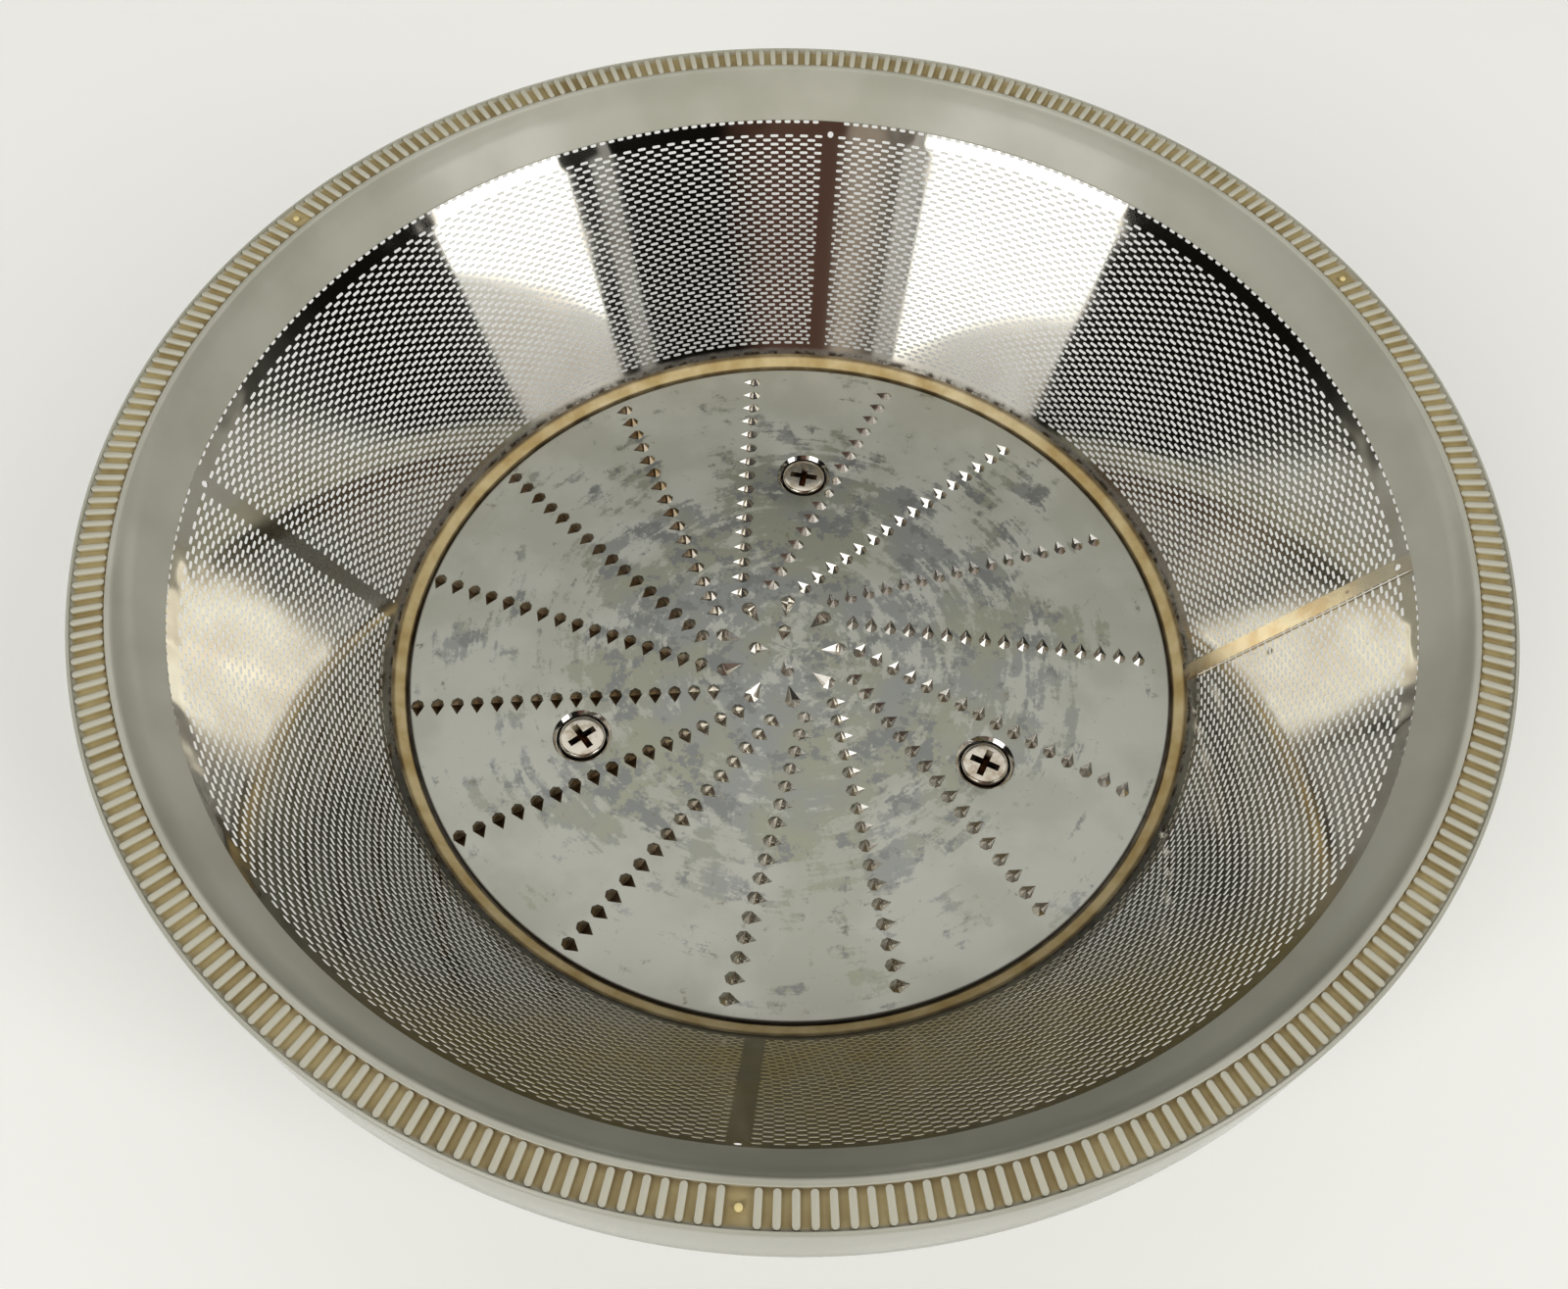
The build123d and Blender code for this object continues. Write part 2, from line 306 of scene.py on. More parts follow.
def strainerPanel(q):
    bottom = -strainer["footTuck"]
    top = slant + strainer["headTuck"]
    steps = strainer["riseSteps"]
    rise = [bottom + (top - bottom) * i / steps for i in range(steps + 1)]
    steps = strainer["acrossSteps"]
    across = [panelAngle * i / steps for i in range(steps)]
    outline = [(stripEdge(q, bottom) + a, bottom) for a in across]
    outline += [(stripEdge(q + 1, s), s) for s in rise[:-1]]
    outline += [(stripEdge(q + 1, top) - a, top) for a in across]
    outline += [(stripEdge(q, s), s) for s in reversed(rise[1:])]
    spacing = (strainer["lastRow"] - strainer["firstRow"]) / (strainer["rows"] - 1)
    pilotAt = slant - strainer["pilotBelowHead"]
    pilot = []
    for x, y in circleLoop((0, 0), strainer["pilotRadius"], strainer["pilotSides"]):
        pilot.append((stripMiddle(q) + math.degrees(x / coneRadius(pilotAt)), pilotAt + y))
    front, back = [outline, pilot], [outline, pilot]
    for loops, flare in ((front, 0.0), (back, strainer["flare"])):
        for row in range(strainer["rows"]):
            s = strainer["firstRow"] + row * spacing
            low = 1 - s / slant
            pitch = strainer["pitchAngle"] + strainer["pitchGrowth"] * low ** 3
            loops += slotRow(q, s, pitch, strainer["slotLength"], strainer["slotWidth"], row % 2 / 2, flare)
        s = slant - strainer["keyBelowHead"]
        loops += slotRow(q, s, strainer["keyPitch"], strainer["keyLength"], strainer["keyWidth"], 0, flare)
    # the sheet is cut flat, in millimetres along its middle
    flat = math.radians(coneRadius(slant / 2))
    middle = stripMiddle(q) + panelAngle / 2
    points, faces, source = cutSheet([[((a - middle) * flat, s) for a, s in loop] for loop in front])
    backPoints = [p for loop in back for p in loop]

    # the first panel's strip laps over the last panel's edge
    def lift(angle, s):
        if q > 0:
            return 0.0
        ramp = math.degrees(strainer["lapRamp"] / coneRadius(s))
        strip = math.degrees(strainer["stripWidth"] / coneRadius(s))
        t = (stripEdge(0, s) + strip + ramp - angle) / ramp
        t = min(max(t, 0.0), 1.0)
        shown = min(max(min(s, slant - s) / strainer["lapRamp"], 0.0), 1.0)  # flat inside the mouldings
        return strainer["lapRise"] * t * t * (3 - 2 * t) * shown

    places = [(x / flat + middle, s) for x, s in points]
    count = len(places)
    verts = [conePoint(a, s, -lift(a, s)) for a, s in places]
    verts += [conePoint(a, s, basket["sheet"] - lift(a, s)) for a, s in (backPoints[i] for i in source)]
    sides = {}
    polygons = []
    for a, b, c in faces:
        polygons.append((a, b, c))
        polygons.append((c + count, b + count, a + count))
        sides.update(dict.fromkeys(((a, b), (b, c), (c, a))))
    for i, j in sides:
        if (j, i) not in sides:
            polygons.append((j, i, i + count, j + count))
    panel = meshPiece(f"strainerPanel{q + 1}", verts, polygons, weld=False)
    mesh = panel.data
    bpy.ops.object.shade_smooth()
    # a rolled sheet reflects as a clean cone, so its faces carry the cone's own direction
    normals = []
    for face in mesh.polygons:
        for corner in face.vertices:
            p = mesh.vertices[corner].co
            out = Vector((p.x, p.y, 0)).normalized() * offSlope.x + Vector((0, 0, offSlope.y))
            facing = face.normal.dot(out)
            if abs(facing) > strainer["faceOn"]:
                normals.append(out if facing > 0 else -out)
            else:
                normals.append(face.normal.copy())
    mesh.normals_split_custom_set(normals)
    return panel


panels = [strainerPanel(q) for q in range(strainer["panels"])]
print("strainer:", [len(p.data.polygons) for p in panels], "faces a panel")


# Moulded rim with its ribbed track

rim = {
    "outerBand": 0.45,
    "trackWidth": 3.55,
    "lipWidth": 0.75,
    "trackDepth": 0.5,
    "ribs": 300,
    "nubs": 3,
    "firstNub": -90.0,
    "ribWidth": 0.72,
    "ribGap": 0.1,
    "ribRound": 0.13,
    "nubRadius": 0.4,
    "skirtHeight": 10.5,
    "skirtWall": 1.8,
    "deck": 2.2,
    "edgeRound": 0.4,
    "lipRound": 0.35,
    "bandRound": 0.08,
    "trackRound": 0.1,
    "trackLipRound": 0.12,
    "skirtRound": 0.3,
    "gripRound": 0.2,
    "underRound": 0.6,
    "steepRun": 0.75,
    "steepDrop": 2.2,
    "cove": 9.0,
    "proud": 0.5,
    "gripShort": 0.4,
    "gripWall": 1.1,
    "ribSunk": 0.15,        # how far ribs and nubs go into the track's floor
    "ribEnd": 0.98,         # a rib's end rounding, as a share of half its width
    "nubBelow": 0.1,
    "hair": 0.001,          # slack when edges are told apart by height
    "steps": 600,
}


def cornerArc(before, corner, after, radius, steps):
    # rounds one corner of an outline
    a, c, b = Vector(before), Vector(corner), Vector(after)
    toA, toB = (a - c).normalized(), (b - c).normalized()
    half = toA.angle(toB) / 2
    start, end = c + toA * radius / math.tan(half), c + toB * radius / math.tan(half)
    centre = c + (toA + toB).normalized() * radius / math.sin(half)
    first, last = (start - centre).normalized(), (end - centre).normalized()
    points = [centre + first.slerp(last, i / steps) * radius for i in range(steps + 1)]
    return [tuple(p) for p in points]


def roundedOutline(corners):
    # corners are (radius, height, rounding)
    outline = []
    for i, (r, z, rounding) in enumerate(corners):
        if rounding:
            before = corners[i - 1][:2]
            after = corners[(i + 1) % len(corners)][:2]
            outline += cornerArc(before, (r, z), after, rounding, steps=5)
        else:
            outline.append((r, z))
    return outline + outline[:1]


def makeRim():
    top = basket["height"]
    outer = basket["rimRadius"]
    trackOuter = outer - rim["outerBand"]
    trackInner = trackOuter - rim["trackWidth"]
    lip = trackInner - rim["lipWidth"]
    floor = top - rim["trackDepth"]
    deck = top - rim["deck"]
    skirt = top - rim["skirtHeight"]
    inner = headSlope - offSlope * rim["proud"]
    gripIn = headSlope + offSlope * basket["sheet"]
    gripOut = headSlope + offSlope * (basket["sheet"] + rim["gripWall"])
    shortIn = gripIn + upSlope * rim["gripShort"]
    shortOut = gripOut + upSlope * rim["gripShort"]
    wallTop = gripOut + upSlope * ((deck - gripOut.y) / upSlope.y)
    body = turnProfile("rimRing", roundedOutline([
        (outer, skirt, rim["skirtRound"]),
        (outer, top, rim["edgeRound"]),
        (trackOuter, top, rim["bandRound"]),
        (trackOuter, floor, rim["trackRound"]),
        (trackInner, floor, rim["trackRound"]),
        (trackInner, top, rim["trackLipRound"]),
        (lip, top, rim["lipRound"]),
        (lip - rim["steepRun"], top - rim["steepDrop"], rim["cove"]),
        (inner.x, inner.y, rim["gripRound"]),
        (headSlope.x, headSlope.y, 0),
        (gripIn.x, gripIn.y, 0),
        (shortIn.x, shortIn.y, 0),
        (shortOut.x, shortOut.y, rim["gripRound"]),
        (wallTop.x, wallTop.y, rim["underRound"]),
        (outer - rim["skirtWall"], deck, rim["underRound"]),
        (outer - rim["skirtWall"], skirt, rim["skirtRound"]),
    ]), steps=rim["steps"])

    # one rib, rounded at its ends and along its top, and one nub
    length = rim["trackWidth"] - 2 * rim["ribGap"]
    height = rim["trackDepth"] + rim["ribSunk"]
    middle = (trackInner + trackOuter) / 2
    nubTop = top - rim["nubBelow"]
    endRound = rim["ribWidth"] / 2 * rim["ribEnd"]
    rib = block((length, rim["ribWidth"], height), (middle, 0, top - height / 2))
    bevelEdges(rib, lambda a, b: abs(a.z - b.z) > height / 2 * mm, endRound, segments=4)
    bevelEdges(rib, lambda a, b: min(a.z, b.z) > (top - rim["hair"]) * mm, rim["ribRound"], segments=2)
    nub = rod("gateNub", rim["nubRadius"], top - height, nubTop, (middle, 0), sides=12)
    bevelEdges(nub, lambda a, b: min(a.z, b.z) > (nubTop - rim["hair"]) * mm, rim["ribRound"], segments=2)

    # the rib is stepped round the track, with a nub in place of every hundredth
    pitch = 360.0 / rim["ribs"]
    every = rim["ribs"] // rim["nubs"]
    bpy.ops.object.empty_add(location=(0, 0, 0))
    stepper = bpy.context.object
    stepper.rotation_euler.z = math.radians(pitch)
    marks = []
    for k in range(rim["nubs"]):
        first = rim["firstNub"] + k * every * pitch
        for source, angle, count in ((rib, first + pitch, every - 1), (nub, first, 1)):
            pick(source)
            bpy.ops.object.duplicate()
            mark = bpy.context.object
            if count > 1:
                array = mark.modifiers.new("steps", "ARRAY")
                array.count = count
                array.use_relative_offset = False
                array.use_object_offset = True
                array.offset_object = stepper
                bpy.context.view_layer.update()
                bpy.ops.object.modifier_apply(modifier=array.name)
            mark.rotation_euler.z = math.radians(angle)
            marks.append(settle(mark))
    for spare in (rib, nub, stepper):
        bpy.data.objects.remove(spare, do_unlink=True)
    return joinAll("rimRing", [body] + marks)


def bevelEdges(piece, chosen, width, segments):
    # bevels the edges whose two ends pass a test
    corners = piece.data.vertices
    marked = [chosen(*(corners[i].co for i in e.vertices)) for e in piece.data.edges]
    pick(piece)
    bpy.ops.object.mode_set(mode="EDIT")
    bpy.ops.mesh.select_mode(type="EDGE")
    bpy.ops.mesh.select_all(action="DESELECT")
    bpy.ops.object.mode_set(mode="OBJECT")
    for edge, mark in zip(piece.data.edges, marked):
        edge.select = mark
    bpy.ops.object.mode_set(mode="EDIT")
    bpy.ops.mesh.bevel(offset=width * mm, segments=segments, affect="EDGES", clamp_overlap=True)
    bpy.ops.object.mode_set(mode="OBJECT")


rimRing = makeRim()
smooth(rimRing, angle=40)
print("rim:", len(rimRing.data.polygons), "faces")


# Grating disc with punched teeth

grater = {
    "rows": 15,
    "perRow": 16,
    "offset": 5.7,
    "start": 9.2,
    "pitch": 2.593,
    "firstAngle": 91.9,
    "shift": (-1.4, -0.2),   # the punched pattern sits off the disc's centre
    "width": 1.75,
    "height": 0.85,
    "back": 1.1,
    "lean": 0.25,
    "dentRun": 1.5,
    "dentDepth": 0.65,
    "shoulder": (0.38, 0.66),  # a tooth's back corners, as shares of its width and back
    # centre teeth: radius, dent length, width, angles
    "centreRings": ((8.0, 2.6, 2.1, [6.0 + 40.0 * i for i in range(9)]),
                    (3.2, 1.6, 1.9, (83.0, 176.0, 292.0))),
    "dimpleRadius": 3.9,
    "sinkRadius": 3.38,      # foot of the dimple's 45 degree wall
    "dimpleDepth": 2.2,
    "dimpleWall": 0.9,
    "sinkRound": 0.1,
    "cupRound": 0.4,
    "holeRadius": 1.95,
    "edgeRound": 0.15,
    "outerSides": 256,
    "dimpleSides": 48,
}


def toothPlaces():
    # (place, way the dent runs out, width, dent length)
    shift = Vector(grater["shift"])
    for i in range(grater["rows"]):
        angle = grater["firstAngle"] + i * 360.0 / grater["rows"]
        along = polar(1, angle).xy
        side = polar(1, angle + 90).xy
        for j in range(grater["perRow"]):
            place = shift + along * (grater["start"] + j * grater["pitch"]) + side * grater["offset"]
            yield place, side, grater["width"], grater["dentRun"]
    for radius, run, width, angles in grater["centreRings"]:
        for angle in angles:
            outwards = polar(1, angle).xy
            yield shift + outwards * radius, -outwards, width, run


def makeDisc():
    top = basket["discTop"]
    seat = basket["discSeat"]
    edge = grater["edgeRound"]
    loops = [circleLoop((0, 0), basket["discRadius"] - edge, grater["outerSides"])]
    dimples = [spot.xy for spot in screwSpots]
    for centre in dimples:
        loops.append(circleLoop(centre, grater["dimpleRadius"], grater["dimpleSides"]))
    teeth = list(toothPlaces())
    diamonds = []
    for place, side, width, run in teeth:
        along = Vector((side.y, -side.x))
        for centre in dimples:
            # a dent that would run into a screw dimple stops short of it
            inside = grater["dimpleRadius"] + 2 * edge - (place + side * run - centre).length
            run -= max(inside, 0.0)
        back = -side * grater["back"]
        shoulder = along * width * grater["shoulder"][0]
        shoulderBack = back * grater["shoulder"][1]
        diamonds.append([place - along * width / 2, place - shoulder + shoulderBack, place + back,
                         place + shoulder + shoulderBack, place + along * width / 2, place + side * run])
    loops += [[tuple(p) for p in d] for d in diamonds]
    flat, faces = cutSheet(loops)[:2]
    verts = [(x * mm, y * mm, top * mm) for x, y in flat]
    polygons = [tuple(f) for f in faces]
    index = {(round(x, 3), round(y, 3)): i for i, (x, y) in enumerate(flat)}

    def corner(p):
        return index[(round(p[0], 3), round(p[1], 3))]

    def addVert(x, y, z):
        verts.append((x * mm, y * mm, z * mm))
        return len(verts) - 1

    # each tooth: a raised point on one side of its slit, a dent on the other
    for (place, side, width, run), diamond in zip(teeth, diamonds):
        left, backLeft, back, backRight, right, front = (corner(p) for p in diamond)
        tipAt = place - side * grater["lean"]
        tip = addVert(tipAt.x, tipAt.y, top + grater["height"])
        pit = addVert(place.x, place.y, top - grater["dentDepth"])
        polygons += [(left, backLeft, tip), (backLeft, back, tip), (back, backRight, tip)]
        polygons += [(backRight, right, tip), (right, left, tip)]
        polygons += [(left, right, pit), (right, front, pit), (front, left, pit)]

    def skirt(loop, profile, centre):
        # carries a ring of the top face down a (radius, height) profile
        ring = [corner(p) for p in loop]
        sides = len(ring)
        for radius, z in profile:
            below = [addVert(x, y, z) for x, y in circleLoop(centre, radius, sides)]
            for i in range(sides):
                j = (i + 1) % sides
                polygons.append((ring[i], ring[j], below[j], below[i]))
            ring = below
        return ring

    outerDrop = arcPoints((basket["discRadius"] - edge, top - edge), edge, 90, 0, steps=6)[1:]
    under = skirt(loops[0], outerDrop + [(basket["discRadius"], seat)], (0, 0))
    underLoops = [[verts[i][:2] for i in under]]
    r = grater["dimpleRadius"]
    headSeat = top - grater["dimpleDepth"]
    cupBottom = headSeat - grater["dimpleWall"]
    cup = arcPoints((r, top - edge), edge, 90, 135, steps=4)[1:]
    sink = grater["sinkRadius"]
    cup += [(sink, cup[-1][1] - (cup[-1][0] - sink))]
    small, large = grater["sinkRound"], grater["cupRound"]
    cup += [(sink, headSeat + small), (sink - small, headSeat)]
    cup += [(grater["holeRadius"], headSeat), (grater["holeRadius"], cupBottom)]
    outerCup = r + grater["dimpleWall"]
    cup += [(outerCup - large, cupBottom), (outerCup - small, cupBottom + small)]
    cup += [(outerCup, cupBottom + large), (outerCup, seat)]
    for centre, loop in zip(dimples, loops[1:]):
        ring = skirt(loop, cup, centre)
        underLoops.append([verts[i][:2] for i in ring])
    first = len(verts)
    flatUnder, facesUnder = cutSheet(underLoops)[:2]
    verts += [(x, y, seat * mm) for x, y in flatUnder]
    polygons += [tuple(first + i for i in reversed(f)) for f in facesUnder]
    return meshPiece("graterDisc", verts, polygons, weld=True)


graterDisc = makeDisc()
smooth(graterDisc, angle=16)
print("disc:", len(graterDisc.data.polygons), "faces")

# Screws

screwShape = {
    "headRadius": 3.03,
    "headBelow": 0.1,
    "shank": 1.72,
    "length": 6.0,
    "recessSpan": 4.3,
    "recessWidth": 0.95,
    "recessDepth": 1.3,
    "recessTaper": (0.5, 0.72),
    "recessAngles": (-6.6, 41.0, 68.0),
    "crown": ((0, 0), (1.6, 0), (2.4, 0.03)),  # radius and drop of the head's flat top
    "headRound": 0.4,
    "headDrop": 0.45,
    "tip": 0.4,
    "clear": 0.3,           # how far the recess's cutter stands above the head
}


def makeScrew(number):
    s = screwShape
    top = basket["discTop"] - s["headBelow"]
    seat = basket["discTop"] - grater["dimpleDepth"]
    end = seat - s["length"]
    outline = [(r, top - drop) for r, drop in s["crown"]]
    crownAt = (s["headRadius"] - s["headRound"], top - s["headDrop"])
    outline += arcPoints(crownAt, s["headRound"], 80, 0, steps=5)
    outline += [(s["headRadius"], seat), (s["shank"], seat), (s["shank"], end + s["tip"])]
    outline += [(s["shank"] - s["tip"], end), (0, end)]
    blank = turnProfile(f"screw{number}", outline, steps=64)
    # tapered cross recess
    for turn in (0, 90):
        depth = s["recessDepth"] + s["clear"]
        wing = block((s["recessSpan"], s["recessWidth"], depth), (0, 0, top + s["clear"] - depth / 2))
        for v in wing.data.vertices:
            if v.co.z < top * mm:
                v.co.x *= s["recessTaper"][0]
                v.co.y *= s["recessTaper"][1]
        wing.rotation_euler.z = math.radians(turn + s["recessAngles"][number - 1])
        settle(wing)
        cutOrAdd(blank, wing, "DIFFERENCE")
    blank.location = screwSpots[number - 1] * mm
    return settle(blank)


screws = [makeScrew(n) for n in (1, 2, 3)]
for piece in screws:
    smooth(piece, angle=35)
print("screws:", len(screws))

# Base moulding

base = {
    "ringGap": 0.4,
    "ringStep": 0.1,
    "floor": 2.4,
    "gripLength": 0.8,
    "gripWall": 1.3,
    "edgeDrop": 1.0,
    "edgeWall": 1.8,
    "footRadius": 38.0,
    "footWall": 2.0,
    "hubRadius": 11.0,
    "hubBottom": 2.7,
    "bushRadius": 7.0,
    "bushTop": 9.6,
    "bossRadius": 5.9,
    "bossBottom": 2.75,
    "webs": 6,
    "webThickness": 1.8,
    "webFoot": 3.0,
    "pocketRadius": 4.85,
    "pocketBottom": 9.2,
    "insertRadius": 2.6,
    "insertBottom": 3.65,
    "ringRound": 0.25,
    "lipRound": 0.3,
    "edgeRound": 0.6,
    "fillet": 0.6,
    "chamfer": 0.3,
    "overlap": 0.5,         # how far bosses, webs and cutters reach past the face they meet
    "webBite": 1.0,         # and how far webs go into the hub and the foot
}


def makeBase():
    b = base
    seat = basket["discSeat"]
    under = seat - b["floor"]
    ring = basket["discRadius"] + b["ringGap"]
    gripIn = footSlope + offSlope * basket["sheet"]
    gripOut = footSlope + offSlope * (basket["sheet"] + b["gripWall"])
    edgeBottom = under - b["edgeDrop"]
    outerFoot = gripOut - upSlope * ((gripOut.y - edgeBottom) / upSlope.y)
    tuck = strainer["footTuck"]
    slotIn, slotOut = footSlope - upSlope * tuck, gripIn - upSlope * tuck
    lipIn, lipOut = gripIn + upSlope * b["gripLength"], gripOut + upSlope * b["gripLength"]
    footIn = b["footRadius"] - b["footWall"]
    foot, hub, bush = b["footRadius"], b["hubRadius"], b["bushRadius"]
    fillet, bevel = b["fillet"], b["chamfer"]
    edgeIn = outerFoot.x - b["edgeWall"]
    outline = [(0, b["bushTop"]), (0, seat), (ring, seat)]
    ringTop = basket["discTop"] + b["ringStep"]
    outline += cornerArc((ring, seat), (ring, ringTop), footSlope, b["ringRound"], steps=4)
    outline += [tuple(p) for p in (footSlope, slotIn, slotOut, lipIn)]
    outline += cornerArc(lipIn, lipOut, outerFoot, b["lipRound"], steps=3)
    outline += cornerArc(lipOut, outerFoot, (0, edgeBottom), b["edgeRound"], steps=4)
    outline += [(edgeIn, edgeBottom), (edgeIn - b["edgeDrop"], under)]
    outline += [(foot + fillet, under), (foot, under - fillet), (foot, bevel), (foot - bevel, 0)]
    outline += [(footIn + bevel, 0), (footIn, bevel), (footIn, under - fillet), (footIn - fillet, under)]
    outline += [(hub + fillet, under), (hub, under - fillet), (hub, b["hubBottom"] + bevel)]
    outline += [(hub - bevel, b["hubBottom"]), (bush, b["hubBottom"]), (bush, b["bushTop"])]
    outline += [(0, b["bushTop"])]
    body = turnProfile("baseCarrier", outline, steps=240)
    webTop = under + b["overlap"]
    for spot in screwSpots:
        cutOrAdd(body, rod("boss", b["bossRadius"], b["bossBottom"], webTop, spot, sides=48), "UNION")
    inner, outer = hub - b["webBite"], footIn + b["webBite"]
    for i in range(b["webs"]):
        web = block((outer - inner, b["webThickness"], webTop - b["webFoot"]),
                    ((inner + outer) / 2, 0, (webTop + b["webFoot"]) / 2))
        web.rotation_euler.z = math.radians(basket["screwAngles"][0] + i * 360.0 / b["webs"])
        cutOrAdd(body, settle(web), "UNION")
    holeTop = b["pocketBottom"] + b["overlap"]
    for spot in screwSpots:
        pocket = rod("pocket", b["pocketRadius"], b["pocketBottom"], seat + b["overlap"], spot, sides=48)
        cutOrAdd(body, pocket, "DIFFERENCE")
        hole = rod("insertHole", b["insertRadius"], b["insertBottom"], holeTop, spot, sides=32)
        cutOrAdd(body, hole, "DIFFERENCE")
    return body


baseCarrier = makeBase()
smooth(baseCarrier, angle=35)
print("base:", len(baseCarrier.data.polygons), "faces")


# Materials

soft = {"interpolation_type": "SMOOTHSTEP"}  # a Map Range that eases in and out
fall = {3: 1.0, 4: 0.0}  # and the ends of one that falls from 1 to 0
blend = {"out": 2, "data_type": "RGBA"}  # a Mix of two colours, read from its third output
times = {"operation": "MULTIPLY"}
timesPlus = {"operation": "MULTIPLY_ADD"}  # the first by the second, and the third added


def hexColor(code):
    channels = [int(code[i:i + 2], 16) / 255 for i in (1, 3, 5)]
    return [c / 12.92 if c <= 0.04045 else ((c + 0.055) / 1.055) ** 2.4 for c in channels] + [1.0]


def fillSockets(tree, node, values):
    # outputs of other nodes are linked, numbers are set, and a colour is given by its code
    for socket, value in values.items():
        if isinstance(value, bpy.types.NodeSocket):
            tree.links.new(value, node.inputs[socket])
        else:
            node.inputs[socket].default_value = hexColor(value) if isinstance(value, str) else value


def addNode(tree, kind, inputs=None, out=0, **settings):
    # one node with its settings and links; gives back one of its outputs
    node = tree.nodes.new("ShaderNode" + kind)
    for name, value in settings.items():
        setattr(node, name, value)
    fillSockets(tree, node, inputs or {})
    return node.outputs[out]


def newMaterial(name):
    # a material, addNode for its own tree, and the place on the piece
    material = bpy.data.materials.new(name)
    material.use_nodes = True
    add = partial(addNode, material.node_tree)
    return material, add, add("TexCoord", out="Object")


def finishMaterial(material, sockets):
    fillSockets(material.node_tree, material.node_tree.nodes["Principled BSDF"], sockets)
    return material


def perMm(size):
    # a texture's scale for a pattern of this many millimetres
    return 1.0 / (size * mm)


def roundPlace(add, place):
    # a place's X, Y and Z, the place seen from above, and its distance from the axis
    split = add("SeparateXYZ", {0: place}).node.outputs
    flat = add("CombineXYZ", {0: split["X"], 1: split["Y"]})
    return split, flat, add("VectorMath", {0: flat}, 1, operation="LENGTH")


def shownRays(add):
    # 1 for what the camera sees, straight or in metal, and 0 for the light that falls on the object
    seen = add("LightPath").node.outputs
    shown = add("Math", {0: seen["Is Camera Ray"], 1: seen["Is Glossy Ray"]}, operation="ADD")
    return add("Math", {0: shown, 1: seen["Is Transmission Ray"]}, operation="ADD", use_clamp=True)


